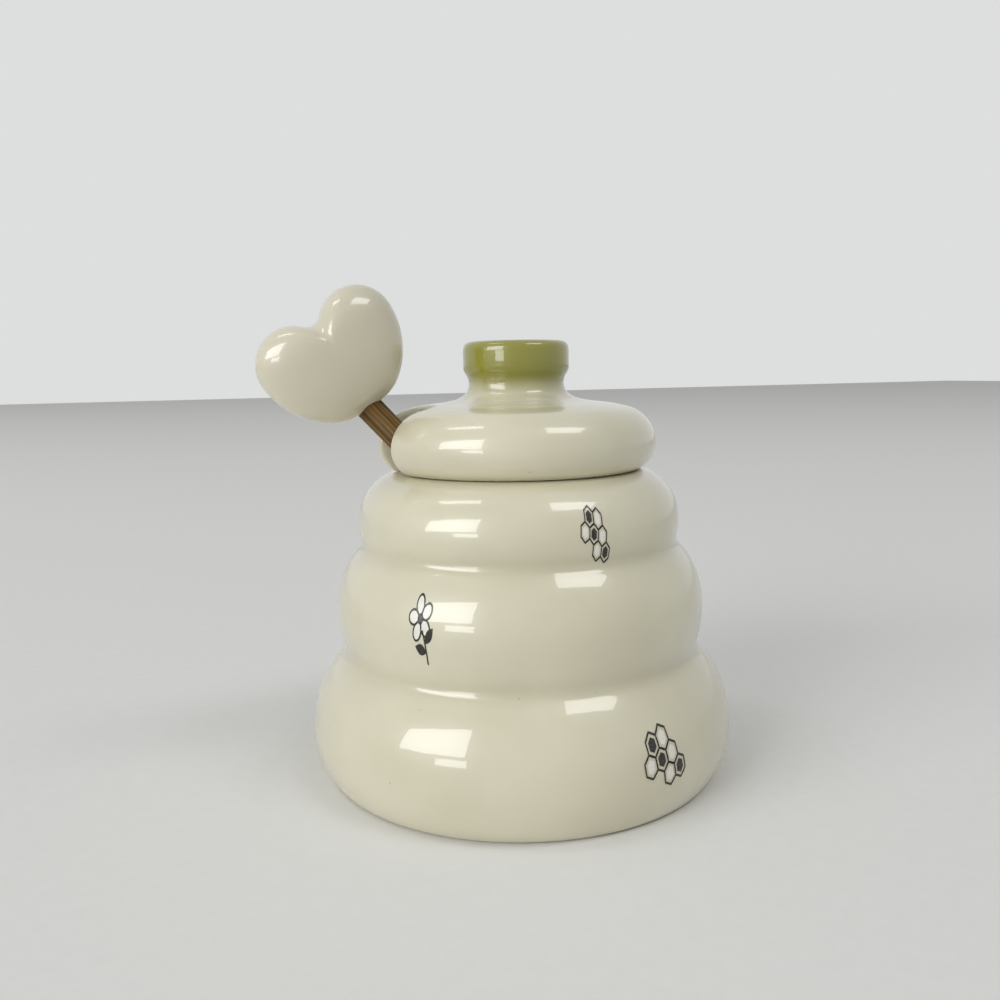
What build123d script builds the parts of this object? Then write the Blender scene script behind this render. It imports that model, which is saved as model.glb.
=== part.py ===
from build123d import *

import os
from math import cos, radians, sin, sqrt

# A beehive honey pot in glazed pottery: a pot of three stacked rings, a lift-off lid that is the
# fourth ring, and a turned wooden dipper. The dipper's stick leans out through a notch in the lid
# and ends in a pottery heart. Millimetres, +Z up, origin in the middle of the foot's ring, and the
# dipper leans towards -X.

# Pot: the cast wall follows the rings. A ring's height runs from seam to seam, and its belly is the
# height above its lower seam at which it is widest.
wall = 4.0
floor_thickness = 4.5
foot_radius = 37.5
foot_land = 6.5
foot_recess = 1.0
low_ring_radius = 41.0
low_ring_height = 24.3
low_belly = 9.5
mid_ring_radius = 35.7
mid_ring_height = 20.2
mid_belly = 8.3
top_ring_radius = 31.1
top_ring_height = 13.9
top_belly = 4.5
low_seam_depth = 1.5
high_seam_depth = 0.7
seam_round = 1.3
mouth_radius = 21.8
mouth_depth = 3.0
rim_width = 2.3
rim_round = 0.7
floor_round = 2.0

# Lid: a cushion with a knob, a hollow underneath and a flange that drops into the pot's mouth. The
# cushion rises steeply to its crown's edge, then gently to the knob's neck, which flares to the knob.
lid_radius = 26.7
lid_height = 12.9
lid_belly = 4.9
lid_seat = 1.5
lid_roof = 4.8
crown_radius = 12.6
crown_edge_radius = 21.4
crown_rise = 1.13
flange_clearance = 1.2
flange_width = 2.2
flange_depth = 4.0
flange_round = 0.8
hollow_round = 4.0
neck_radius = 9.0
neck_height = 4.1
neck_fillet = 3.1
knob_radius = 10.2
knob_height = 7.5
knob_flare = 2.0
knob_lower_round = 3.0
knob_upper_round = 1.9
notch_side_clearance = 2.0
notch_break = 1.9

# Dipper: one turning of stick and grooved head.
lean = 47.3
stick_radius = 2.5
stick_clearance = 1.2
head_clearance = 0.2
head_length = 20.0
head_radius = 8.25
head_end_radius = 6.4
head_round = 1.0
shoulder_length = 4.0
shoulder_radius = 4.2
groove_count = 5
groove_width = 1.7
groove_depth = 3.6
socket_depth = 10.0
socket_lead = 1.0
glue_gap = 0.08

# Heart: a puffy pottery grip on the end of the stick.
heart_gap = 2.0
heart_turn = 10.0
heart_length = 20.8
heart_half_width = 13.8
heart_thickness = 12.4
heart_dome_radius = 42.0
heart_edge_round = 4.0
lobe_radius = 7.0
tip_half_width = 4.3
tip_round = 9.0
cleft_radius = 2.6

# Heights and radii that follow.
low_seam_z = low_ring_height
high_seam_z = low_seam_z + mid_ring_height
rim_z = high_seam_z + top_ring_height
low_seam_radius = mid_ring_radius - low_seam_depth
high_seam_radius = top_ring_radius - high_seam_depth
rim_radius = mouth_radius + rim_width
crown_z = rim_z + lid_height
roof_z = crown_z - lid_roof
flange_radius = mouth_radius - flange_clearance
hollow_radius = flange_radius - flange_width
notch_radius = stick_radius + notch_side_clearance
knob_z = crown_z + neck_height
knob_top = knob_z + knob_height
slack = 0.01


def ring_halves(inset, foot, rim):
    """Draws the wall's line up the three rings, set in from the outside, from foot to rim."""
    low = (low_ring_radius - inset, low_belly)
    low_seam = (low_seam_radius - inset, low_seam_z)
    mid = (mid_ring_radius - inset, low_seam_z + mid_belly)
    high_seam = (high_seam_radius - inset, high_seam_z)
    top = (top_ring_radius - inset, high_seam_z + top_belly)
    for belly, below, above in ((low, foot, low_seam), (mid, low_seam, high_seam), (top, high_seam, rim)):
        TangentArc(belly, below, tangent=(0, -1))
        TangentArc(belly, above, tangent=(0, 1))


def circles_at(part, radius, height):
    """The round edges of a turned part at one radius and height."""
    circles = part.edges().filter_by(GeomType.CIRCLE)
    level = circles.filter_by_position(Axis.Z, height - slack, height + slack)
    return level.filter_by(lambda edge: abs(edge.radius - radius) < slack)


# The pot: its outside, less the same rings one wall further in, and a recess inside the foot's ring.
with BuildPart() as pot:
    with BuildSketch(Plane.XZ):
        with BuildLine():
            ring_halves(0, (foot_radius, 0), (rim_radius, rim_z))
            Polyline((rim_radius, rim_z), (0, rim_z), (0, 0), (foot_radius, 0))
        make_face()
    revolve(axis=Axis.Z)
    fillet(circles_at(pot.part, low_seam_radius, low_seam_z), seam_round)
    fillet(circles_at(pot.part, high_seam_radius, high_seam_z), seam_round)
    fillet(circles_at(pot.part, foot_radius, 0), rim_round)
    with BuildSketch(Plane.XZ):
        with BuildLine():
            inner_foot = (foot_radius - wall, floor_thickness)
            mouth = (mouth_radius, rim_z - mouth_depth)
            ring_halves(wall, inner_foot, mouth)
            Polyline(mouth, (mouth_radius, rim_z), (0, rim_z), (0, floor_thickness), inner_foot)
        make_face()
    revolve(axis=Axis.Z, mode=Mode.SUBTRACT)
    fillet(circles_at(pot.part, foot_radius - wall, floor_thickness), floor_round)
    fillet(circles_at(pot.part, mouth_radius, rim_z), rim_round)
    with BuildSketch(Plane.XY):
        Circle(foot_radius - foot_land)
    extrude(amount=foot_recess, mode=Mode.SUBTRACT)
pot.part.label = "pot"

# The lid: cushion, neck and knob are one turning, hollowed from below, with the flange left standing.
with BuildPart() as lid:
    with BuildSketch(Plane.XZ):
        belly_z = rim_z + lid_belly
        seat = (mouth_radius + lid_seat, rim_z)
        crown_edge = (crown_edge_radius, crown_z - crown_rise)
        with BuildLine():
            TangentArc((lid_radius, belly_z), seat, tangent=(0, -1))
            side = TangentArc((lid_radius, belly_z), crown_edge, tangent=(0, 1))
            TangentArc(side @ 1, (crown_radius, crown_z), tangent=side % 1)
            Polyline((crown_radius, crown_z), (neck_radius, crown_z), (neck_radius, knob_z))
            Polyline((neck_radius, knob_z), (knob_radius, knob_z + knob_flare), (knob_radius, knob_top))
            Polyline((knob_radius, knob_top), (0, knob_top), (0, rim_z), seat)
        make_face()
    revolve(axis=Axis.Z)
    with BuildSketch(Plane.XY.offset(rim_z - flange_depth)):
        Circle(flange_radius)
    extrude(amount=flange_depth)
    with BuildSketch(Plane.XY.offset(rim_z - flange_depth)):
        Circle(hollow_radius)
    extrude(amount=roof_z - rim_z + flange_depth, mode=Mode.SUBTRACT)
    fillet(circles_at(lid.part, mouth_radius + lid_seat, rim_z), rim_round)
    fillet(circles_at(lid.part, neck_radius, crown_z), neck_fillet)
    fillet(circles_at(lid.part, neck_radius, knob_z), knob_lower_round)
    fillet(circles_at(lid.part, knob_radius, knob_z + knob_flare), knob_lower_round)
    fillet(circles_at(lid.part, knob_radius, knob_top), knob_upper_round)
    fillet(circles_at(lid.part, hollow_radius, roof_z), hollow_round)
    fillet(circles_at(lid.part, flange_radius, rim_z - flange_depth), flange_round)
    fillet(circles_at(lid.part, hollow_radius, rim_z - flange_depth), flange_round)
    # The notch is a slot with a round end, open at the lid's edge, that breaks into the hollow.
    with BuildSketch(Plane.XY.offset(rim_z - flange_depth)):
        with Locations((notch_break - hollow_radius - lid_radius, 0)):
            SlotOverall(2 * lid_radius, 2 * notch_radius)
    extrude(amount=flange_depth + lid_height, mode=Mode.SUBTRACT)
lid.part.label = "lid"

# The dipper's axis: its stick clears the mouth's rounded inner edge by the stick clearance.
outward = Vector(-cos(radians(lean)), 0, sin(radians(lean)))
across = Vector(sin(radians(lean)), 0, cos(radians(lean)))
rim_round_middle = Vector(-mouth_radius - rim_round, 0, rim_z - rim_round)
stick_origin = rim_round_middle + across * (rim_round + stick_clearance + stick_radius)
dipper_plane = Plane(origin=stick_origin, x_dir=across, z_dir=(0, -1, 0))
dipper_axis = Axis(stick_origin, outward)
# The head's lower corner, before its rounding, clears the floor by the head clearance.
head_end_z = floor_thickness + head_clearance + head_end_radius * across.Z
head_end = (head_end_z - stick_origin.Z) / outward.Z
head_top = head_end + head_length
heart_tip = (-lid_radius - heart_gap - stick_origin.X) / outward.X
stick_end = heart_tip + socket_depth
groove_pitch = head_length / (groove_count + 1)

with BuildPart() as dipper:
    with BuildSketch(dipper_plane):
        with BuildLine():
            ThreePointArc(
                (head_end_radius, head_end),
                (head_radius, head_end + head_length / 2),
                (head_end_radius, head_top),
            )
            Polyline((head_end_radius, head_top), (shoulder_radius, head_top))
            Line((shoulder_radius, head_top), (stick_radius, head_top + shoulder_length))
            Polyline(
                (stick_radius, head_top + shoulder_length),
                (stick_radius, stick_end - glue_gap),
                (0, stick_end - glue_gap),
                (0, head_end),
                (head_end_radius, head_end),
            )
        make_face()
    revolve(axis=dipper_axis)
    fillet(dipper.edges().filter_by(GeomType.CIRCLE).group_by(dipper_axis)[0], head_round)
    with BuildSketch(dipper_plane):
        for groove in range(1, groove_count + 1):
            with Locations((head_radius, head_end + groove * groove_pitch)):
                Rectangle(2 * groove_depth, groove_width)
    revolve(axis=dipper_axis, mode=Mode.SUBTRACT)
dipper.part.label = "dipper"

# The heart's own axis starts at the stick's, in the middle of the blunt tip, and is turned from it.
heart_lean = radians(lean + heart_turn)
heart_outward = Vector(-cos(heart_lean), 0, sin(heart_lean))
heart_across = Vector(sin(heart_lean), 0, cos(heart_lean))
tip_point = stick_origin + outward * heart_tip
heart_plane = Plane(origin=tip_point, x_dir=heart_across, z_dir=(0, -1, 0))
heart_axis = Axis(tip_point, heart_outward)
lobe_across = heart_half_width - lobe_radius
lobe_along = heart_length - lobe_radius
cleft_along = lobe_along + sqrt((lobe_radius + cleft_radius) ** 2 - lobe_across**2)

# The heart: an outline of arcs that is symmetrical about that axis, thickened, domed and rounded.
with BuildPart() as heart_handle:
    with BuildSketch(heart_plane):
        with BuildLine():
            TangentArc((heart_half_width, lobe_along), (tip_half_width, 0), tangent=(0, -1))
            Polyline((tip_half_width, 0), (0, 0), (0, lobe_along), (heart_half_width, lobe_along))
        make_face()
        with Locations((lobe_across, lobe_along)):
            Circle(lobe_radius)
        with BuildLine():
            Polyline((0, lobe_along), (lobe_across, lobe_along), (0, cleft_along), (0, lobe_along))
        make_face()
        with Locations((0, cleft_along)):
            Circle(cleft_radius, mode=Mode.SUBTRACT)
        mirror(about=Plane.YZ)
    extrude(amount=heart_thickness / 2, both=True)
    fillet(heart_handle.edges().filter_by(Axis.Y).group_by(heart_axis)[0], tip_round)
    dome_middle = tip_point + heart_outward * (heart_length / 2)
    dome_offset = Vector(0, heart_dome_radius - heart_thickness / 2, 0)
    for dome_centre in (dome_middle - dome_offset, dome_middle + dome_offset):
        with Locations(dome_centre):
            Sphere(heart_dome_radius, mode=Mode.INTERSECT)
    fillet(heart_handle.edges().filter_by(Axis.Y, reverse=True), heart_edge_round)
    with BuildSketch(Plane(origin=tip_point - outward * socket_lead, z_dir=outward)):
        Circle(stick_radius + glue_gap)
    extrude(amount=socket_lead + socket_depth, mode=Mode.SUBTRACT)
heart_handle.part.label = "heart_handle"

os.makedirs("parts", exist_ok=True)
export_step(pot.part, "parts/pot.step")
export_step(lid.part, "parts/lid.step")
export_step(dipper.part, "parts/dipper.step")
export_step(heart_handle.part, "parts/heart_handle.step")
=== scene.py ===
from math import atan2, ceil, cos, exp, hypot, pi, radians, sin, sqrt

import bmesh
import bpy
import numpy as np
from mathutils import Matrix, Vector
from mathutils.geometry import delaunay_2d_cdt


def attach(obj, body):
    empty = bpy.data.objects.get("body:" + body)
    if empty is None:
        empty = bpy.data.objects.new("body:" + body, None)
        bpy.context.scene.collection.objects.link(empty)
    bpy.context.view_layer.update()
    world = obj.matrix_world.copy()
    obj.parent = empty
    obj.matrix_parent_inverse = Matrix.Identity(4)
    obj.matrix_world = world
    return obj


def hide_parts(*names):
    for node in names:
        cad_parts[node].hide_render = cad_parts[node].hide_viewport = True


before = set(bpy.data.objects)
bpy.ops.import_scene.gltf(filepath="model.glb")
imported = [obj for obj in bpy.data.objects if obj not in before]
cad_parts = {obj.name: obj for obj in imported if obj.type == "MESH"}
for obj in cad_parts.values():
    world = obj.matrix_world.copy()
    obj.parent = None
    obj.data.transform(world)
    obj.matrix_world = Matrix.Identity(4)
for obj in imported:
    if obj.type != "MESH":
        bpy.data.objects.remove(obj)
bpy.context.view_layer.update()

# Pot: an earthenware jar, slip-cast in one mould with three stacked rings, then glazed ivory inside
# and out. The firing leaves it a hair out of round, and its foot is wiped bare so it doesn't stick
# to the kiln shelf.
mm = 0.001


def linear(code):
    """An sRGB colour such as #E4DFCB as the linear colour that a shader takes."""
    steps = [int(code[k : k + 2], 16) / 255 for k in (1, 3, 5)]
    return [c / 12.92 if c <= 0.04045 else ((c + 0.055) / 1.055) ** 2.4 for c in steps] + [1]


def add(tree, kind, inputs=(), **settings):
    """Adds one node with its settings. An input, by name or number, takes a value or a link."""
    node = tree.nodes.new(kind)
    for name, value in settings.items():
        setattr(node, name, value)
    for key, value in dict(inputs).items():
        if isinstance(value, bpy.types.NodeSocket):
            tree.links.new(value, node.inputs[key])
        else:
            node.inputs[key].default_value = value
    return node


def new_material(name):
    """An empty material and its node tree."""
    material = bpy.data.materials.new(name)
    material.use_nodes = True
    material.node_tree.nodes.clear()
    return material, material.node_tree


def bulge(belly, end, steps=12):
    """The arc that leaves a ring's belly upright and ends at its seam, as (radius, height) in mm."""
    across, rise = end[0] - belly[0], end[1] - belly[1]
    size = (across**2 + rise**2) / (-2 * across)
    sweep = atan2(rise, across + size)
    turns = [sweep * k / steps for k in range(steps + 1)]
    return [(belly[0] - size + size * cos(a), belly[1] + size * sin(a)) for a in turns]


def soften(line, corners, steps=6):
    """Rounds corners of a line, given as (corner, reach): a curve runs from reach before to reach after."""
    for corner, reach in corners:
        k = min(range(len(line)), key=lambda n: hypot(line[n][0] - corner[0], line[n][1] - corner[1]))
        ends = []
        for way in (-1, 1):
            n, left = k, reach
            while True:
                step = hypot(line[n + way][0] - line[n][0], line[n + way][1] - line[n][1])
                if step > left:
                    break
                n, left = n + way, left - step
            share = left / step
            point = tuple(line[n][i] + share * (line[n + way][i] - line[n][i]) for i in (0, 1))
            ends.append((n + way, point))
        (first, start), (last, stop) = ends
        curve, pulls = [], (start, line[k], stop)
        for n in range(steps + 1):
            t = n / steps
            weights = ((1 - t) ** 2, 2 * t * (1 - t), t**2)
            curve.append(tuple(sum(w * p[i] for w, p in zip(weights, pulls)) for i in (0, 1)))
        line = line[: first + 1] + curve + line[last:]
    return line


def finish_mesh(piece, body, slot, *nodes):
    """Closes a piece's doubles, turns its faces outwards, and hands it to the frame."""
    form = bmesh.new()
    form.from_mesh(piece.data)
    bmesh.ops.remove_doubles(form, verts=form.verts, dist=1e-7)
    bmesh.ops.recalc_face_normals(form, faces=form.faces)
    form.to_mesh(piece.data)
    form.free()
    piece.data.polygons.foreach_set("use_smooth", [True] * len(piece.data.polygons))
    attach(piece, body)
    if nodes:
        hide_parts(*nodes)
    return piece


def socket(tree, name, kind, way="INPUT"):
    return tree.interface.new_socket(name, in_out=way, socket_type=kind)


# The turning tree: each point of a profile line becomes a ring of points about the axis.
turning = bpy.data.node_groups.new("turned_form", "GeometryNodeTree")
socket(turning, "Profile", "NodeSocketGeometry")
socket(turning, "Segments", "NodeSocketInt")
socket(turning, "Out Of Round", "NodeSocketFloat")
socket(turning, "Swell Size", "NodeSocketFloat")
socket(turning, "Glaze", "NodeSocketMaterial")
socket(turning, "Geometry", "NodeSocketGeometry", "OUTPUT")
given = add(turning, "NodeGroupInput").outputs
count = add(turning, "GeometryNodeAttributeDomainSize", {0: given["Profile"]}).outputs[0]
around = add(turning, "ShaderNodeMath", {0: given["Segments"], 1: 1.0}, operation="ADD").outputs[0]
grid = add(turning, "GeometryNodeMeshGrid", {"Vertices X": count, "Vertices Y": around}).outputs[0]
index = add(turning, "GeometryNodeInputIndex").outputs[0]
row = add(turning, "ShaderNodeMath", {0: index, 1: around}, operation="DIVIDE").outputs[0]
row = add(turning, "ShaderNodeMath", {0: row}, operation="FLOOR").outputs[0]
column = add(turning, "ShaderNodeMath", {0: index, 1: around}, operation="MODULO").outputs[0]
share = add(turning, "ShaderNodeMath", {0: column, 1: given["Segments"]}, operation="DIVIDE").outputs[0]
angle = add(turning, "ShaderNodeMath", {0: share, 1: 2 * pi}, operation="MULTIPLY").outputs[0]
place = add(turning, "GeometryNodeInputPosition").outputs[0]
on_line = add(
    turning,
    "GeometryNodeSampleIndex",
    {0: given["Profile"], "Index": row},
    data_type="FLOAT_VECTOR",
)
turning.links.new(place, on_line.inputs["Value"])
turned_point = add(
    turning, "ShaderNodeVectorRotate", {"Vector": on_line.outputs[0], "Angle": angle}, rotation_type="Z_AXIS"
)
turned_at = add(turning, "GeometryNodeSetPosition", {0: grid, "Position": turned_point.outputs[0]}).outputs[0]
# Painted seam shade: each profile point's amount of painted shade is carried round its ring.
seam_shade_read = add(turning, "GeometryNodeInputNamedAttribute", {"Name": "pooling"}, data_type="FLOAT").outputs[0]
seam_shade_row = add(turning, "GeometryNodeSampleIndex", {0: given["Profile"], "Value": seam_shade_read, "Index": row})
stored = add(
    turning,
    "GeometryNodeStoreNamedAttribute",
    {0: turned_at, "Name": "pooling", "Value": seam_shade_row.outputs[0]},
    data_type="FLOAT",
    domain="POINT",
).outputs[0]
closed = add(turning, "GeometryNodeMergeByDistance", {0: stored, "Distance": 1e-6}).outputs[0]
scale = add(turning, "ShaderNodeMath", {0: 1.0, 1: given["Swell Size"]}, operation="DIVIDE").outputs[0]
swell = add(turning, "ShaderNodeTexNoise", {"Scale": scale, "Detail": 1.0}, noise_dimensions="3D").outputs[0]
swell = add(turning, "ShaderNodeMath", {0: swell, 1: 0.5}, operation="SUBTRACT").outputs[0]
swell = add(turning, "ShaderNodeMath", {0: swell, 1: given["Out Of Round"]}, operation="MULTIPLY").outputs[0]
outward = add(turning, "ShaderNodeVectorMath", {0: place, 1: (1, 1, 0)}, operation="MULTIPLY").outputs[0]
outward = add(turning, "ShaderNodeVectorMath", {0: outward}, operation="NORMALIZE").outputs[0]
shove = add(turning, "ShaderNodeVectorMath", {0: outward, "Scale": swell}, operation="SCALE").outputs[0]
uneven = add(turning, "GeometryNodeSetPosition", {0: closed, "Offset": shove}).outputs[0]
real = add(turning, "GeometryNodeRealizeInstances", {0: uneven}).outputs[0]
coated = add(turning, "GeometryNodeSetMaterial", {0: real, "Material": given["Glaze"]}).outputs[0]
add(turning, "NodeGroupOutput", {0: coated})


def turn(name, line, segments, material, pooling=None, out_of_round=0.0, swell_size=1.0):
    """Turns a line of (radius, height) in mm about the Z axis into a closed mesh."""
    base = bpy.data.meshes.new(name)
    base.from_pydata([(r * mm, 0, z * mm) for r, z in line], [], [])
    # Each profile point carries its amount of painted seam shade, zero where none is given.
    base.attributes.new("pooling", "FLOAT", "POINT").data.foreach_set("value", pooling or [0.0] * len(line))
    piece = bpy.data.objects.new(name, base)
    bpy.context.scene.collection.objects.link(piece)
    modifier = piece.modifiers.new("turning", "NODES")
    modifier.node_group = turning
    values = {
        "Segments": segments,
        "Out Of Round": out_of_round,
        "Swell Size": swell_size,
        "Glaze": material,
    }
    for item in turning.interface.items_tree:
        if item.name in values:
            modifier[item.identifier] = values[item.name]
    seen = piece.evaluated_get(bpy.context.evaluated_depsgraph_get())
    made = bpy.data.meshes.new_from_object(seen)
    piece.modifiers.clear()
    piece.data = made
    return piece


foot, low_seam, high_seam, rim = (37.5, 0.0), (34.2, 24.3), (30.4, 44.5), (24.1, 58.4)
rim_height = rim[1]
rings = (
    ((41.0, 9.5), foot, low_seam),
    ((35.7, 32.6), low_seam, high_seam),
    ((31.1, 49.0), high_seam, rim),
)
wall, floor_height = 4.0, 4.5
inner_foot = (33.5, floor_height)
mouth, mouth_edge = (21.8, 55.4), (21.8, rim_height)
recess_radius, recess_height = 31.0, 1.0
inside, outside = [(0.0, floor_height)], []
for (radius, height), below, above in rings:
    belly = (radius - wall, height)
    lower = inner_foot if below == foot else (below[0] - wall, below[1])
    upper = mouth if above == rim else (above[0] - wall, above[1])
    inside += bulge(belly, lower)[::-1] + bulge(belly, upper)[1:]
    outside += bulge((radius, height), below)[::-1] + bulge((radius, height), above)[1:]
recess = [(recess_radius, 0.0), (recess_radius, recess_height), (0.0, recess_height)]
pot_line = inside + [mouth_edge] + outside[::-1] + recess
pot_line = soften(
    [p for n, p in enumerate(pot_line) if n == 0 or p != pot_line[n - 1]],
    [
        (inner_foot, 2.0),
        ((low_seam[0] - wall, low_seam[1]), 1.0),
        ((high_seam[0] - wall, high_seam[1]), 0.8),
        (mouth, 0.8),
        (mouth_edge, 0.7),
        (rim, 0.6),
        (high_seam, 1.5),
        (low_seam, 1.9),
        (foot, 0.9),
        (recess[0], 0.4),
    ],
)


def glaze_material(name, body, deep_tone_and_seam_shade, bare_below=None, knob=None):
    """Glossy pottery glaze over a pale body, with random deeper tones and painted shade that darkens it in
    the seams.
    """
    material, tree = new_material(name)
    spot = add(tree, "ShaderNodeTexCoord").outputs["Object"]
    cloud = add(
        tree,
        "ShaderNodeTexNoise",
        {"Vector": spot, "Scale": 1 / (22 * mm), "Detail": 3.0, "Roughness": 0.5},
    )
    tone = add(
        tree,
        "ShaderNodeMapRange",
        {0: cloud.outputs[0], 1: 0.32, 2: 0.7, 3: 0.0, 4: 0.4},
        interpolation_type="SMOOTHSTEP",
    )
    # Painted shade: the mesh's painted seam shade pulls the colour towards the deeper tone in the seams.
    seam_shade_attribute = add(tree, "ShaderNodeAttribute", attribute_name="pooling")
    tone_and_seam_shade = add(
        tree,
        "ShaderNodeMath",
        {0: tone.outputs[0], 1: seam_shade_attribute.outputs["Fac"]},
        operation="ADD",
        use_clamp=True,
    )
    colour = add(
        tree,
        "ShaderNodeMix",
        {0: tone_and_seam_shade.outputs[0], 6: linear(body), 7: linear(deep_tone_and_seam_shade)},
        data_type="RGBA",
    ).outputs[2]
    speck = add(tree, "ShaderNodeTexVoronoi", {"Vector": spot, "Scale": 1 / (6.5 * mm), "Randomness": 1.0})
    fleck = add(
        tree,
        "ShaderNodeMapRange",
        {0: speck.outputs["Distance"], 1: 0.016, 2: 0.034, 3: 0.45, 4: 0.0},
        interpolation_type="SMOOTHSTEP",
    )
    colour = add(
        tree, "ShaderNodeMix", {0: fleck.outputs[0], 6: colour, 7: linear("#8A8066")}, data_type="RGBA"
    ).outputs[2]
    ripple = add(tree, "ShaderNodeTexNoise", {"Vector": spot, "Scale": 1 / (9 * mm), "Detail": 1.0})
    peel = add(tree, "ShaderNodeTexNoise", {"Vector": spot, "Scale": 1 / (1.6 * mm), "Detail": 2.0})
    height = add(
        tree, "ShaderNodeMath", {0: peel.outputs[0], 1: 0.05, 2: ripple.outputs[0]}, operation="MULTIPLY_ADD"
    )
    bump = add(tree, "ShaderNodeBump", {"Strength": 1.0, "Distance": 0.09 * mm, "Height": height.outputs[0]})
    shader = add(
        tree,
        "ShaderNodeBsdfPrincipled",
        {
            "Base Color": colour,
            "Roughness": 0.3,
            "IOR": 1.52,
            "Coat Weight": 1.0,
            "Coat Roughness": 0.03,
            "Coat IOR": 1.52,
            "Subsurface Weight": 0.12,
            "Subsurface Radius": (1.2 * mm, 1.0 * mm, 0.7 * mm),
            "Subsurface Scale": 1.0,
            "Normal": bump.outputs[0],
            "Coat Normal": bump.outputs[0],
        },
    )
    surface = shader.outputs[0]
    if bare_below is not None:
        parts = add(tree, "ShaderNodeSeparateXYZ", {0: spot})
        edge = add(
            tree,
            "ShaderNodeMath",
            {0: cloud.outputs[0], 1: 0.5 * mm, 2: parts.outputs["Z"]},
            operation="MULTIPLY_ADD",
        )
        bare = add(
            tree,
            "ShaderNodeMapRange",
            {0: edge.outputs[0], 1: bare_below + 0.2 * mm, 2: bare_below + 0.35 * mm, 3: 1.0, 4: 0.0},
        )
        grit = add(tree, "ShaderNodeTexNoise", {"Vector": spot, "Scale": 1 / (0.5 * mm), "Detail": 4.0})
        clay = add(
            tree,
            "ShaderNodeMix",
            {0: grit.outputs[0], 6: linear("#E9DFCB"), 7: linear("#CDBFA4")},
            data_type="RGBA",
        )
        tooth = add(
            tree,
            "ShaderNodeBump",
            {"Strength": 0.6, "Distance": 0.06 * mm, "Height": grit.outputs[0]},
        )
        biscuit = add(
            tree,
            "ShaderNodeBsdfPrincipled",
            {"Base Color": clay.outputs[2], "Roughness": 0.85, "IOR": 1.5, "Normal": tooth.outputs[0]},
        )
        surface = add(
            tree, "ShaderNodeMixShader", {0: bare.outputs[0], 1: shader.outputs[0], 2: biscuit.outputs[0]}
        ).outputs[0]
    if knob:
        base, top, olive, dark = knob
        parts = add(tree, "ShaderNodeSeparateXYZ", {0: spot})
        line = add(
            tree,
            "ShaderNodeMath",
            {0: cloud.outputs[0], 1: 1.6 * mm, 2: parts.outputs["Z"]},
            operation="MULTIPLY_ADD",
        )
        band = add(
            tree,
            "ShaderNodeMapRange",
            {0: line.outputs[0], 1: base, 2: top, 3: 0.0, 4: 1.0},
            interpolation_type="SMOOTHSTEP",
        )
        strong = add(tree, "ShaderNodeMath", {0: band.outputs[0], 1: 1.5}, operation="POWER")
        tint = add(
            tree, "ShaderNodeMix", {0: tone.outputs[0], 6: linear(olive), 7: linear(dark)}, data_type="RGBA"
        )
        both = add(
            tree,
            "ShaderNodeMix",
            {0: strong.outputs[0], 6: colour, 7: tint.outputs[2]},
            data_type="RGBA",
        )
        tree.links.new(both.outputs[2], shader.inputs["Base Color"])
    add(tree, "ShaderNodeOutputMaterial", {"Surface": surface})
    return material


# Glazed earthenware: a clear coat over a warm ivory layer, so highlights are sharp and the body soft.
ivory = glaze_material("ivory_glaze", "#DDD8BF", "#CAC4A7", bare_below=0.2 * mm)
# Painted shade in the seams: the glaze colour darkens towards the deeper tone within a couple of mm of each
# seam, where shade falls.
seam_shade_depth, seam_shade_reach = 0.55, 1.7
seam_shade_amounts = []
for radius, height in pot_line:
    near = min(hypot(radius - r, height - z) for r, z in (low_seam, high_seam))
    seam_shade_amounts.append(seam_shade_depth * exp(-((near / seam_shade_reach) ** 2)))
pot = turn("pot_body", pot_line, 224, ivory, seam_shade_amounts, out_of_round=0.25 * mm, swell_size=34 * mm)
finish_mesh(pot, "pot", "pot_glaze", "pot")

# Lid: a hollow cushion, cast with its knob and glazed down to the bare lower edge of its flange, which
# drops into the mouth. A notch is cut through cushion and flange before firing, so the glaze rounds its
# edges.
slot_half, slot_end, slot_centre = 4.5, 16.5, 21.0
skin_ease, wall_ease = 0.9, 0.45


def onward(start, heading, end, steps):
    """The arc that leaves a point in a heading and ends at another point."""
    across, rise = end[0] - start[0], end[1] - start[1]
    turning_by = 2 * (atan2(rise, across) - heading)
    size = hypot(across, rise) / (2 * sin(turning_by / 2))
    turns = [heading + turning_by * k / steps for k in range(steps + 1)]
    return [
        (start[0] + size * (sin(a) - sin(heading)), start[1] + size * (cos(heading) - cos(a)))
        for a in turns
    ]


lid_belly, crown_edge, crown_top, seat = (26.7, 63.3), (21.4, 70.17), (12.6, 71.3), (23.3, rim_height)
knob_top, knob_foot = (10.2, 82.9), (10.2, 77.4)
neck_top, neck, neck_foot = (9.0, 75.6), (9.5, 73.2), (11.4, 71.9)
crown_from = 14.4
flange_root, flange_outer, flange_inner = (20.6, rim_height), (20.6, 54.4), (18.4, 54.4)
hollow = (18.4, 66.5)
side = onward(lid_belly, pi / 2, crown_edge, 20)
crown_heading = 2 * atan2(crown_edge[1] - lid_belly[1], crown_edge[0] - lid_belly[0]) - pi / 2
crown = onward(side[-1], crown_heading, crown_top, 12)
outer = [(0.0, knob_top[1]), knob_top, knob_foot, neck_top, neck, neck_foot]
outer += [p for p in (side + crown[1:])[::-1] if p[0] > crown_from]
outer += bulge(lid_belly, seat, 14)[1:]
under = [flange_root, flange_outer, flange_inner, hollow, (0.0, hollow[1])]
lid_line = soften(
    outer + under,
    [
        (knob_top, 1.9),
        (knob_foot, 0.9),
        (neck_top, 1.1),
        (neck, 1.1),
        (neck_foot, 1.1),
        (seat, 0.7),
        (flange_root, 0.4),
        (flange_outer, 0.8),
        (flange_inner, 0.8),
        (hollow, 4.0),
    ],
)
marks = [15.0 + 0.15 * k for k in range(10)] + [slot_end + 0.02 * k * k for k in range(9)]
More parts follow.
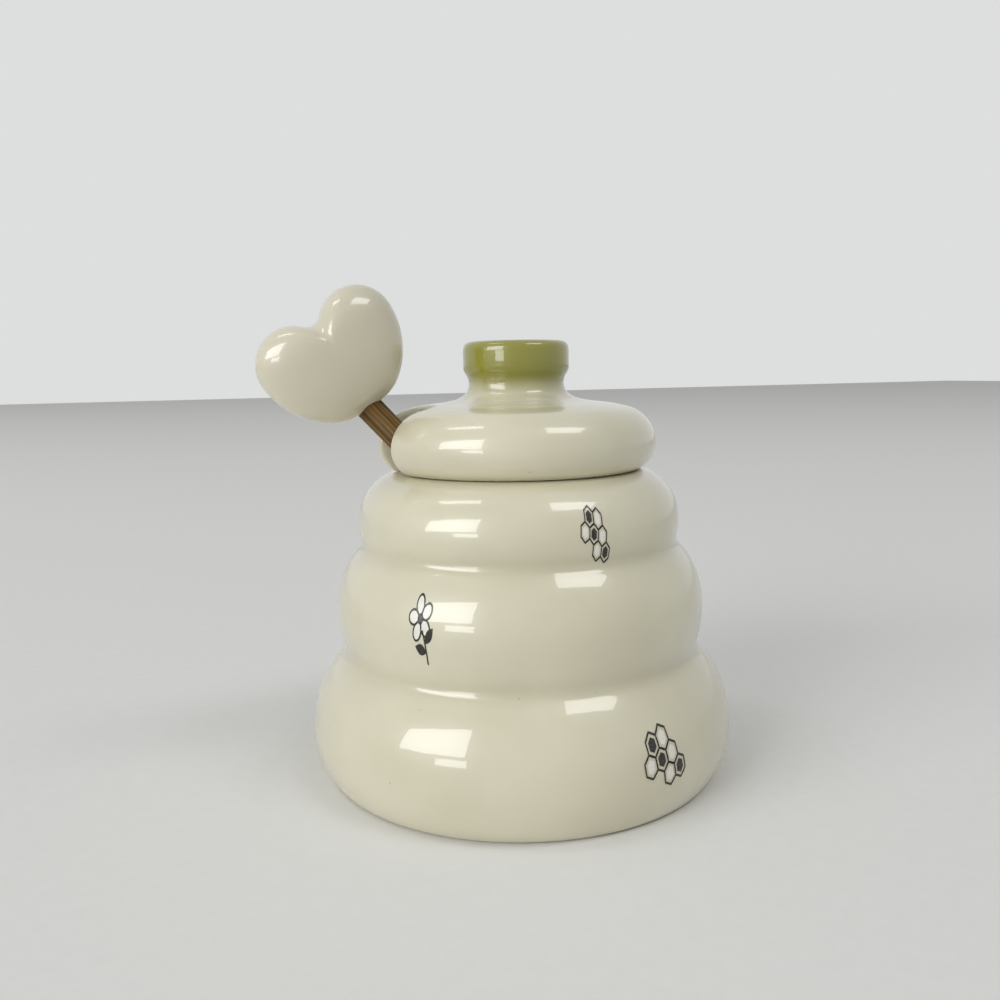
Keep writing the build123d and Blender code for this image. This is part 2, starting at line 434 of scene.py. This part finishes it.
marks += [18.1 + 0.4 * k for k in range(22)]
lid_rows = []
for a, b in zip(lid_line, lid_line[1:]):
    cuts = [(m - a[0]) / (b[0] - a[0]) for m in marks if min(a[0], b[0]) < m < max(a[0], b[0])]
    if not cuts and a[0] > 15.0:
        pieces = ceil(hypot(b[0] - a[0], b[1] - a[1]) / 0.5)
        cuts = [k / pieces for k in range(1, pieces)]
    lid_rows += [a] + [(a[0] + c * (b[0] - a[0]), a[1] + c * (b[1] - a[1])) for c in sorted(cuts)]
close = 0.1
spaced = []
for row in lid_rows + [lid_line[-1]]:
    is_end = abs(row[0] - slot_end) < 1e-6
    if spaced and hypot(row[0] - spaced[-1][0], row[1] - spaced[-1][1]) < close:
        if not is_end:
            continue
        spaced.pop()
    spaced.append(row)
lid_rows = np.array(spaced)


def notch_angle(radius):
    """Half the angle about the lid's axis that the notch takes out of a ring of that radius."""
    radius = np.maximum(radius, slot_end)
    round_end = (radius**2 + slot_centre**2 - slot_half**2) / (2 * radius * slot_centre)
    straight = np.arcsin(slot_half / radius)
    return np.where(radius < hypot(slot_centre, slot_half), np.arccos(np.clip(round_end, -1, 1)), straight)


def ring_angles(radius, across):
    """Angles round each ring from one side of the notch to the other."""
    half = notch_angle(radius)
    return pi + half + (2 * pi - 2 * half) * across


columns = 208
across = np.arange(columns + 1) / columns
across = 0.1 * across + 0.9 * across**2 * (3 - 2 * across)
along = np.gradient(lid_rows, axis=0)
along /= np.hypot(along[:, 0], along[:, 1])[:, None]
facing = np.stack([-along[:, 1], along[:, 0]], axis=1)[:, None, :]
radius, height = lid_rows[:, :1], lid_rows[:, 1:]
turns = ring_angles(radius, across)
x, y = radius * np.cos(turns), radius * np.sin(turns)
gap = np.where(x < -slot_centre, np.abs(y), np.hypot(x + slot_centre, y)) - slot_half
skin_from, skin_rise, underside_from = 58.6, 1.5, 58.41
is_outside = np.arange(len(lid_rows)) < np.argmax(lid_rows[:, 1] < underside_from)
is_skin = np.clip((height - skin_from) / skin_rise, 0, 1) * is_outside[:, None]
round_off = wall_ease + (skin_ease - wall_ease) * is_skin
drop = round_off - np.sqrt(round_off**2 - np.clip(round_off - gap, 0, round_off) ** 2)
radius = radius - drop * facing[..., 0] * np.clip((radius - 17) / 2, 0, 1)
height = height - drop * facing[..., 1]
turns = ring_angles(radius, across)
spots = np.stack([radius * np.cos(turns), radius * np.sin(turns), height], axis=2).reshape(-1, 3)
width = columns + 1
faces = [
    (i * width + j, i * width + j + 1, (i + 1) * width + j + 1, (i + 1) * width + j)
    for i in range(len(lid_rows) - 1)
    for j in range(columns)
]

# The notch's wall is laid out flat, along the slot's outline and up, filled, and bent back round it.
bend = slot_half * pi / 2
at_end = [i for i in range(len(lid_rows)) if abs(lid_rows[i, 0] - slot_end) < 1e-6]
first, last = at_end[0], at_end[-1]
far = [i * width + columns for i in range(first + 1, last)]
near = [i * width for i in range(last - 1, first, -1)]
loop = [first * width] + far + [last * width] + near


def laid_flat(spot):
    turned_by = slot_half * atan2(spot[1], spot[0] + slot_centre)
    if spot[0] < -slot_centre:
        turned_by = (bend - slot_centre - spot[0]) * (1 if spot[1] > 0 else -1)
    return Vector((turned_by, spot[2]))


flat = [laid_flat(spots[i]) for i in loop]
edges = [(k, (k + 1) % len(flat)) for k in range(len(flat))]
fill_step, fill_base, fill_margin = 0.7, 54.8, 0.4
fill_grid = [Vector((u * fill_step, fill_base + z * fill_step)) for u in range(-20, 21) for z in range(24)]
inner = [g for g in fill_grid if min((g - p).length for p in flat) > fill_margin]
flat, _, fill, _, _, _ = delaunay_2d_cdt(flat + inner, edges, [], 1, 1e-5)
extra = []
for u, z in flat[len(loop) :]:
    side, run = (1 if u > 0 else -1), abs(u) - bend
    if run < 0:
        extra.append((slot_half * cos(u / slot_half) - slot_centre, slot_half * sin(u / slot_half), z))
    else:
        extra.append((-slot_centre - run, side * slot_half, z))
number = loop + [len(spots) + k for k in range(len(extra))]
faces += [tuple(number[k] for k in face) for face in fill]
mesh = bpy.data.meshes.new("lid_body")
mesh.from_pydata([[c * mm for c in p] for p in [*spots, *extra]], [], faces)
# The lid has no painted seam shade: the attribute stays zero.
mesh.attributes.new("pooling", "FLOAT", "POINT")
lid_glaze = glaze_material(
    "ivory_glaze_olive_knob",
    "#DDD8BF",
    "#CAC4A7",
    bare_below=54.6 * mm,
    knob=(71.6 * mm, 77.8 * mm, "#95922A", "#77741A"),
)
mesh.materials.append(lid_glaze)
lid = bpy.data.objects.new("lid_body", mesh)
bpy.context.scene.collection.objects.link(lid)
finish_mesh(lid, "lid", "lid_glaze", "lid")

# Dipper: one turning of straight-grained hardwood, stained warm brown. Five grooves in its head hold
# the honey, and its stick leans out of the notch.
lean = radians(47.3)
axis_foot = Vector((-19.2664, 0, 60.6839))
outwards = Vector((-cos(lean), 0, sin(lean)))
head_end, head_top, stick_end = -70.272, -50.272, 23.831
head_length, end_radius, swell_by = 20.0, 6.4, 1.85
shoulder_radius, shoulder_length, stick_radius = 4.2, 4.0, 2.5
groove_count, groove_half, groove_floor = 5, 0.85, 4.65
head_line = [(0.0, head_end), (end_radius, head_end)]


def barrel(run):
    """The head's radius at a distance from its end: it swells towards the middle."""
    half_length = head_length / 2
    return end_radius + swell_by * (1 - ((run - half_length) / half_length) ** 2)


def land(start, stop):
    """The head's outline from one distance to another, in four steps, without the first point."""
    runs = [start + (stop - start) * k / 4 for k in range(1, 5)]
    return [(barrel(run), head_end + run) for run in runs]


corners = [((end_radius, head_end), 1.0)]
pitch = head_length / (groove_count + 1)
run = 0.0
for groove in range(1, groove_count + 1):
    for side in (-groove_half, groove_half):
        at = groove * pitch + side
        if side < 0:
            head_line += land(run, at) + [(groove_floor, head_end + at)]
        else:
            head_line += [(groove_floor, head_end + at), (barrel(at), head_end + at)]
            run = at
        corners += [((barrel(at), head_end + at), 0.3), ((groove_floor, head_end + at), 0.2)]
shoulder, stick_foot = (shoulder_radius, head_top), (stick_radius, head_top + shoulder_length)
head_line += land(run, head_length)
head_line += [shoulder, stick_foot, (stick_radius, stick_end), (0.0, stick_end)]
corners += [((end_radius, head_top), 0.5), (shoulder, 0.4), (stick_foot, 1.5)]
head_line = soften(head_line, corners, 4)

# Beech-like wood, turned and sanded: fine straight grain along the stick, with darker pore lines.
wood, tree = new_material("stained_beech_turned")
spot = add(tree, "ShaderNodeTexCoord").outputs["Object"]
along_stick = Vector((0, 0, 1)).rotation_difference(outwards).to_euler()
straight = add(
    tree,
    "ShaderNodeMapping",
    {"Vector": spot, "Rotation": along_stick, "Scale": (0.5 * mm, 0.5 * mm, 30 * mm)},
    vector_type="TEXTURE",
).outputs[0]
grain = add(tree, "ShaderNodeTexNoise", {"Vector": straight, "Scale": 1.0, "Detail": 4.0, "Roughness": 0.55})
bands = add(
    tree,
    "ShaderNodeMapRange",
    {0: grain.outputs[0], 1: 0.36, 2: 0.64, 3: 0.0, 4: 1.0},
    interpolation_type="SMOOTHSTEP",
)
pores = add(tree, "ShaderNodeTexNoise", {"Vector": straight, "Scale": 3.2, "Detail": 2.0})
lines = add(tree, "ShaderNodeMapRange", {0: pores.outputs[0], 1: 0.3, 2: 0.42, 3: 0.75, 4: 0.0})
colour = add(
    tree,
    "ShaderNodeMix",
    {0: bands.outputs[0], 6: linear("#46320E"), 7: linear("#84622A")},
    data_type="RGBA",
)
colour = add(
    tree,
    "ShaderNodeMix",
    {0: lines.outputs[0], 6: colour.outputs[2], 7: linear("#271A07")},
    data_type="RGBA",
)
tooth = add(tree, "ShaderNodeBump", {"Strength": 0.5, "Distance": 0.08 * mm, "Height": grain.outputs[0]})
shader = add(
    tree,
    "ShaderNodeBsdfPrincipled",
    {"Base Color": colour.outputs[2], "Roughness": 0.62, "IOR": 1.45, "Normal": tooth.outputs[0]},
)
add(tree, "ShaderNodeOutputMaterial", {"Surface": shader.outputs[0]})
dipper = turn("dipper_turning", head_line, 56, wood)
leaned = Vector((0, 0, 1)).rotation_difference(outwards).to_matrix().to_4x4()
dipper.data.transform(Matrix.Translation(axis_foot * mm) @ leaned)
finish_mesh(dipper, "dipper", "dipper_wood", "dipper")

# Heart: a puffy solid-cast heart in the same ivory glaze, glued over the stick's end as its grip.
tip_along, heart_turn, heart_length = 13.911, radians(10.0), 20.8
half_width, lobe, blunt, cleft, tip_reach = 13.8, 7.0, 4.3, 2.6, 2.6
tip = axis_foot + outwards * tip_along
heart_lean = lean + heart_turn
lobe_x, lobe_y = half_width - lobe, heart_length - lobe
cleft_y = lobe_y + sqrt((lobe + cleft) ** 2 - lobe_x**2)
narrowing, rise = half_width - blunt, lobe_y
flank = (narrowing**2 + rise**2) / (2 * narrowing)
sweep = atan2(rise, flank - narrowing)
half = []
for k in range(25):
    a = sweep * (1 - k / 24)
    half.append((half_width - flank + flank * cos(a), lobe_y - flank * sin(a)))
join = atan2(cleft_y - lobe_y, -lobe_x)
half += [(lobe_x + lobe * cos(join * k / 24), lobe_y + lobe * sin(join * k / 24)) for k in range(1, 25)]
start = atan2(lobe_y - cleft_y, lobe_x)
cleft_turns = [start - (start + pi / 2) * k / 6 for k in range(1, 7)]
half += [(cleft * cos(a), cleft_y + cleft * sin(a)) for a in cleft_turns]
half = soften([(0.0, 0.0), (blunt, 0.0)] + half[1:], [((blunt, 0.0), tip_reach)], 10)
outline = np.array(half + [(-a, b) for a, b in half[-2:0:-1]])
middle = np.array((0.0, lobe_y - 1.0))
spokes = outline - middle
shells, puff, fullness = 22, 6.2, 2.5
shape, heart_faces = [], []
for front in (1, -1):
    for k in range(shells + 1):
        s = sin(pi / 2 * k / shells)
        thick = puff * sqrt(max(0.0, 1 - s**fullness)) * front
        for a, b in middle + s * spokes:
            across_by = Vector((sin(heart_lean), 0, cos(heart_lean))) * a
            along_by = Vector((-cos(heart_lean), 0, sin(heart_lean))) * b
            shape.append((tip + across_by + along_by + Vector((0, thick, 0))) * mm)
ring = len(outline)
for base in (0, (shells + 1) * ring):
    for k in range(shells):
        for j in range(ring):
            a, b = base + k * ring + j, base + k * ring + (j + 1) % ring
            heart_faces.append((a, b, b + ring, a + ring))
mesh = bpy.data.meshes.new("heart_grip")
mesh.from_pydata(shape, [], heart_faces)
# The heart has no painted seam shade: the attribute stays zero.
mesh.attributes.new("pooling", "FLOAT", "POINT")
mesh.materials.append(glaze_material("ivory_glaze_solid_cast", "#DBD5BE", "#C8C1A6"))
heart = bpy.data.objects.new("heart_grip", mesh)
bpy.context.scene.collection.objects.link(heart)
finish_mesh(heart, "dipper", "heart_glaze", "heart_handle")

# Transfers: small line drawings of blossoms and honeycomb, printed in black and white enamel on
# film, slid on to the glazed pot and fired, so each follows the ring under it.
ink_points, ink_faces, white_points, white_faces = [], [], [], []
stand_off, cell_size, pen = 60, 0.35, 0.3


def lay(points, faces, flat, cells, place):
    """Adds a flat drawing's faces, moved to its place on the pot: azimuth, height, turn and size."""
    azimuth, height, turned_by, size = place
    start = len(points)
    away = Vector((cos(azimuth), sin(azimuth), 0))
    right = Vector((-sin(azimuth), cos(azimuth), 0))
    for u, v in flat:
        across_by = size * (u * cos(turned_by) - v * sin(turned_by))
        up_by = size * (u * sin(turned_by) + v * cos(turned_by))
        points.append((away * stand_off + right * across_by + Vector((0, 0, height + up_by))) * mm)
    faces.extend(tuple(start + k for k in cell) for cell in cells)


def patch(outline, place, points, faces):
    """A filled shape, cut into cells small enough to follow the pot."""
    edge = [Vector(p) for p in outline]
    low = [min(p[i] for p in edge) for i in (0, 1)]
    high = [max(p[i] for p in edge) for i in (0, 1)]
    grid = [
        Vector((low[0] + cell_size * i, low[1] + cell_size * j))
        for i in range(1, ceil((high[0] - low[0]) / cell_size))
        for j in range(1, ceil((high[1] - low[1]) / cell_size))
    ]
    grid = [g for g in grid if min((g - p).length for p in edge) > 0.15]
    rim = [(k, (k + 1) % len(edge)) for k in range(len(edge))]
    flat, _, cells, _, _, _ = delaunay_2d_cdt(edge + grid, rim, [], 1, 1e-6)
    lay(points, faces, flat, cells, place)


def stroke(line, place, closed=False):
    """A line inked with the pen through the points."""
    line = [Vector(p) for p in line]
    if closed:
        line = line + [line[0]]
    fine = [line[0]]
    for a, b in zip(line, line[1:]):
        pieces = max(1, ceil((b - a).length / cell_size))
        fine += [a + (b - a) * k / pieces for k in range(1, pieces + 1)]
    flat = []
    for k, p in enumerate(fine):
        before = fine[k - 1] if k else (fine[-2] if closed else p)
        after = fine[k + 1] if k < len(fine) - 1 else (fine[1] if closed else p)
        way = (after - before).normalized()
        out = Vector((-way.y, way.x)) * pen / 2
        flat += [p + out, p - out]
    cells = [(2 * k, 2 * k + 1, 2 * k + 3, 2 * k + 2) for k in range(len(fine) - 1)]
    lay(ink_points, ink_faces, flat, cells, place)


def oval(centre, long, short, tilt, steps=28):
    turns = [2 * pi * k / steps for k in range(steps)]
    return [
        (
            centre[0] + long * cos(a) * cos(tilt) - short * sin(a) * sin(tilt),
            centre[1] + long * cos(a) * sin(tilt) + short * sin(a) * cos(tilt),
        )
        for a in turns
    ]


def blossom(place):
    """Five white petals round a black eye, on a bent stem with two leaves."""
    stem = [(0.6 * sin(k / 12 * 2.4), -6.2 * k / 12) for k in range(3, 13)]
    stroke(stem, place)
    for root, tilt in (((0.55, -3.4), 0.6), ((0.6, -4.6), pi - 0.5)):
        leaf = [
            (
                root[0] + 2.9 * t * cos(tilt) - w * 0.75 * sin(pi * t) * sin(tilt),
                root[1] + 2.9 * t * sin(tilt) + w * 0.75 * sin(pi * t) * cos(tilt),
            )
            for w, ts in ((1, range(0, 9)), (-1, range(7, 0, -1)))
            for t in [n / 8 for n in ts]
        ]
        patch(leaf, place, ink_points, ink_faces)
    for petal in range(5):
        out = pi / 2 + petal * 2 * pi / 5
        shape = oval((1.75 * cos(out), 1.75 * sin(out)), 1.25, 0.95, out)
        patch(shape, place, white_points, white_faces)
        stroke(shape, place, closed=True)
    patch(oval((0, 0), 0.72, 0.72, 0, 18), place, ink_points, ink_faces)


def comb(place):
    """A patch of honeycomb: some cells open, some sealed in black."""
    side, inner_share = 1.55, 0.62
    for q, r, sealed in (
        (0, 0, True),
        (1, 0, False),
        (0, 1, False),
        (-1, 1, True),
        (-1, 0, False),
        (1, -1, False),
        (2, -1, True),
    ):
        x, y = side * sqrt(3) * (q + r / 2), side * 1.5 * r
        cell = [(x + side * cos(pi / 6 + pi / 3 * k), y + side * sin(pi / 6 + pi / 3 * k)) for k in range(6)]
        stroke(cell, place, closed=True)
        inner = [(x + (px - x) * inner_share, y + (py - y) * inner_share) for px, py in cell]
        patch(inner, place, *((ink_points, ink_faces) if sealed else (white_points, white_faces)))


facing_us = radians(250)
blossom((facing_us - radians(28), 36.6, radians(14), 1.3))
comb((facing_us + radians(24), 50.0, radians(-8), 1.15))
comb((facing_us + radians(35), 12.6, radians(12), 1.35))
blossom((facing_us - radians(95), 14.5, radians(-12), 1.35))
blossom((facing_us + radians(128), 36.4, radians(-10), 1.3))
comb((facing_us + radians(188), 50.0, radians(6), 1.15))
comb((facing_us - radians(150), 12.3, radians(-5), 1.35))

film = bpy.data.node_groups.new("slid_on_film", "GeometryNodeTree")
socket(film, "Drawing", "NodeSocketGeometry")
socket(film, "Pot", "NodeSocketObject")
socket(film, "Thickness", "NodeSocketFloat")
socket(film, "Enamel", "NodeSocketMaterial")
socket(film, "Geometry", "NodeSocketGeometry", "OUTPUT")
given = add(film, "NodeGroupInput").outputs
place = add(film, "GeometryNodeInputPosition").outputs[0]
inwards = add(film, "ShaderNodeVectorMath", {0: place, 1: (-1, -1, 0)}, operation="MULTIPLY").outputs[0]
inwards = add(film, "ShaderNodeVectorMath", {0: inwards}, operation="NORMALIZE").outputs[0]
under = add(film, "GeometryNodeObjectInfo", {"Object": given["Pot"]}).outputs["Geometry"]
landing = add(
    film,
    "GeometryNodeRaycast",
    {"Target Geometry": under, "Source Position": place, "Ray Direction": inwards, "Ray Length": 0.1},
)
lift = add(
    film,
    "ShaderNodeVectorMath",
    {0: landing.outputs["Hit Normal"], "Scale": given["Thickness"]},
    operation="SCALE",
).outputs[0]
on_pot = add(
    film,
    "ShaderNodeVectorMath",
    {0: landing.outputs["Hit Position"], 1: lift},
    operation="ADD",
).outputs[0]
laid = add(film, "GeometryNodeSetPosition", {0: given["Drawing"], "Position": on_pot}).outputs[0]
real = add(film, "GeometryNodeRealizeInstances", {0: laid}).outputs[0]
printed = add(film, "GeometryNodeSetMaterial", {0: real, "Material": given["Enamel"]}).outputs[0]
add(film, "NodeGroupOutput", {0: printed})

for name, code, points, cells, film_thickness in (
    ("transfer_white", "#F3F0E6", white_points, white_faces, 0.035),
    ("transfer_black", "#17150F", ink_points, ink_faces, 0.06),
):
    enamel, tree = new_material(name.replace("transfer", "fired_enamel"))
    spot = add(tree, "ShaderNodeTexCoord").outputs["Object"]
    grain = add(tree, "ShaderNodeTexNoise", {"Vector": spot, "Scale": 1 / (0.4 * mm), "Detail": 2.0})
    thin = add(tree, "ShaderNodeMapRange", {0: grain.outputs[0], 1: 0.35, 2: 0.75, 3: 0.0, 4: 0.16})
    colour = add(
        tree, "ShaderNodeMix", {0: thin.outputs[0], 6: linear(code), 7: linear("#8F8B7C")}, data_type="RGBA"
    )
    shader = add(
        tree, "ShaderNodeBsdfPrincipled", {"Base Color": colour.outputs[2], "Roughness": 0.22, "IOR": 1.52}
    )
    add(tree, "ShaderNodeOutputMaterial", {"Surface": shader.outputs[0]})
    mesh = bpy.data.meshes.new(name)
    mesh.from_pydata(points, [], cells)
    piece = bpy.data.objects.new(name, mesh)
    bpy.context.scene.collection.objects.link(piece)
    modifier = piece.modifiers.new("slid on", "NODES")
    modifier.node_group = film
    values = {"Pot": pot, "Thickness": film_thickness * mm, "Enamel": enamel}
    for item in film.interface.items_tree:
        if item.name in values:
            modifier[item.identifier] = values[item.name]
    seen = piece.evaluated_get(bpy.context.evaluated_depsgraph_get())
    made = bpy.data.meshes.new_from_object(seen)
    piece.modifiers.clear()
    piece.data = made
    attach(piece, "pot")

# Studio: a pale sweep in a room with a large window at the left, two panes one above the other, and
# two lamps in the ceiling. A pale surround, brighter overhead, fills the shadows.
floor_mesh = bpy.data.meshes.new("floor")
floor_mesh.from_pydata([(-3, -3, 0), (3, -3, 0), (3, 3, 0), (-3, 3, 0)], [], [(0, 1, 2, 3)])
floor = bpy.data.objects.new("floor", floor_mesh)
bpy.context.scene.collection.objects.link(floor)
paper, tree = new_material("pale_paper_sweep")
spot = add(tree, "ShaderNodeTexCoord").outputs["Object"]
fibre = add(tree, "ShaderNodeTexNoise", {"Vector": spot, "Scale": 1 / (3 * mm), "Detail": 3.0})
shade = add(
    tree,
    "ShaderNodeMix",
    {0: fibre.outputs[0], 6: linear("#EDEDEB"), 7: linear("#E8E8E6")},
    data_type="RGBA",
)
matt = {"Base Color": shade.outputs[2], "Roughness": 0.9, "Specular IOR Level": 0.1}
shader = add(tree, "ShaderNodeBsdfPrincipled", matt)
add(tree, "ShaderNodeOutputMaterial", {"Surface": shader.outputs[0]})
floor_mesh.materials.append(paper)

world = bpy.data.worlds.new("pale_surround")
bpy.context.scene.world = world
world.use_nodes = True
tree = world.node_tree
tree.nodes.clear()
rays = add(tree, "ShaderNodeLightPath").outputs
through = add(
    tree,
    "ShaderNodeMath",
    {0: rays["Is Glossy Ray"], 1: rays["Is Transmission Ray"]},
    operation="ADD",
)
seen = add(
    tree,
    "ShaderNodeMath",
    {0: rays["Is Camera Ray"], 1: through.outputs[0]},
    operation="ADD",
    use_clamp=True,
)
towards = add(tree, "ShaderNodeTexCoord").outputs["Generated"]
upwards = add(tree, "ShaderNodeSeparateXYZ", {0: towards}).outputs["Z"]
overhead = add(tree, "ShaderNodeMapRange", {0: upwards, 1: 0.0, 2: 1.0, 3: 0.12, 4: 0.62}).outputs[0]
strength = add(tree, "ShaderNodeMapRange", {0: seen.outputs[0], 1: 0.0, 2: 1.0, 3: overhead, 4: 0.8})
sky = add(tree, "ShaderNodeBackground", {"Color": linear("#F4F5F5"), "Strength": strength.outputs[0]})
add(tree, "ShaderNodeOutputWorld", {"Surface": sky.outputs[0]})

from_window, ceiling = radians(240), 2.04
along_wall = Vector((-sin(from_window), cos(from_window), 0))
wall_foot = 2.1 * Vector((cos(from_window), sin(from_window), 0))
pane = wall_foot - 1.90 * along_wall + Vector((0, 0, 1.14))
lower_pane = wall_foot - 1.01 * along_wall + Vector((0, 0, 0.22))
for name, place, facing, spin, size, power in (
    ("window", pane, -wall_foot, 0, (2.43, 1.29), 50.0),
    ("window_lower_pane", lower_pane, -wall_foot, 0, (0.81, 0.28), 3.6),
    ("ceiling_panel", Vector((0.9, -1.1, ceiling)), Vector((0, 0, -1)), 0, (1.1, 0.75), 11.0),
    ("ceiling_strip", Vector((-1.07, 0.17, ceiling)), Vector((0, 0, -1)), -40, (0.92, 0.28), 3.6),
):
    lamp = bpy.data.lights.new(name, "AREA")
    lamp.shape = "RECTANGLE"
    lamp.size, lamp.size_y = size
    lamp.energy = power
    held = bpy.data.objects.new(name, lamp)
    bpy.context.scene.collection.objects.link(held)
    held.visible_camera = False
    held.location = place
    held.rotation_mode = "QUATERNION"
    spun = Matrix.Rotation(radians(spin), 3, "Z").to_quaternion()
    held.rotation_quaternion = facing.to_track_quat("-Z", "Y") @ spun

# Camera: at the level of the knob, close by, turned 20 degrees towards the dipper's side.
camera = bpy.data.cameras.new("camera")
camera.sensor_width = 36.0
camera.lens = 34.35
camera.clip_start = 0.01
viewer = bpy.data.objects.new("camera", camera)
bpy.context.scene.collection.objects.link(viewer)
viewer.location = Vector((-63.5, -174.4, 77.5)) * mm
yaw, pitch, roll = radians(71.08), radians(-7.78), radians(-1.0)
forward = Vector((cos(yaw) * cos(pitch), sin(yaw) * cos(pitch), sin(pitch)))
viewer.rotation_mode = "QUATERNION"
viewer.rotation_quaternion = forward.to_track_quat("-Z", "Y") @ Matrix.Rotation(roll, 3, "Z").to_quaternion()
bpy.context.scene.camera = viewer
bpy.context.scene.view_settings.view_transform = "Standard"
